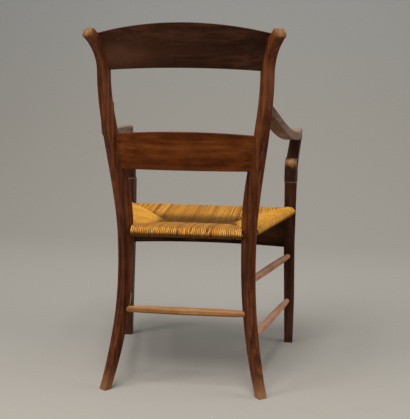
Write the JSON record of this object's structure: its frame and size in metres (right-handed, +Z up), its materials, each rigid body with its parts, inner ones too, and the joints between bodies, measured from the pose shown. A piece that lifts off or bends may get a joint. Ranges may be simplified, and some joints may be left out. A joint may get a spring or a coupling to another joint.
{
  "type": "rush-seated ladder-back armchair",
  "caption": "Wooden armchair with outswept rear posts, bowed back rails, scrolled arms on carved supports and a rush seat wound over stick rails.",
  "frame": {"origin": "on the floor, in the middle of the chair's width and depth", "axes": "+Z up, the chair's front faces -Y, and the sitter's left side is +X"},
  "size_m": [0.541, 0.5792, 0.903],
  "materials": {
    "post_wood": "satin, worn edges",
    "leg_wood": "satin",
    "arm_wood": "worn satin",
    "support_wood": "satin",
    "crest_wood": "satin",
    "slat_wood": "satin",
    "rail_wood": "raw, shaved",
    "apron_wood": "satin",
    "stretcher_wood": "dry, hand-shaved",
    "peg_wood": "satin",
    "rush": "twisted rush cord",
    "straw": "loose packed"
  },
  "bodies": {
    "root": {"left_rear_post": "post_wood", "right_rear_post": "post_wood", "left_front_leg": "leg_wood", "right_front_leg": "leg_wood", "left_arm": "arm_wood", "right_arm": "arm_wood", "left_arm_support": "support_wood", "right_arm_support": "support_wood", "crest_rail": "crest_wood", "lower_back_slat": "slat_wood", "front_seat_rail": "rail_wood", "rear_seat_rail": "rail_wood", "left_seat_rail": "rail_wood", "right_seat_rail": "rail_wood", "front_apron": "apron_wood", "rear_stretcher": "stretcher_wood", "left_upper_stretcher": "stretcher_wood", "right_upper_stretcher": "stretcher_wood", "left_lower_stretcher": "stretcher_wood", "right_lower_stretcher": "stretcher_wood", "crest_rail_pegs": "peg_wood", "back_slat_pegs": "peg_wood", "arm_pegs": "peg_wood", "apron_pegs": "peg_wood", "rush_seat": "rush", "seat_stuffing": "straw"}
  },
  "joints": []
}
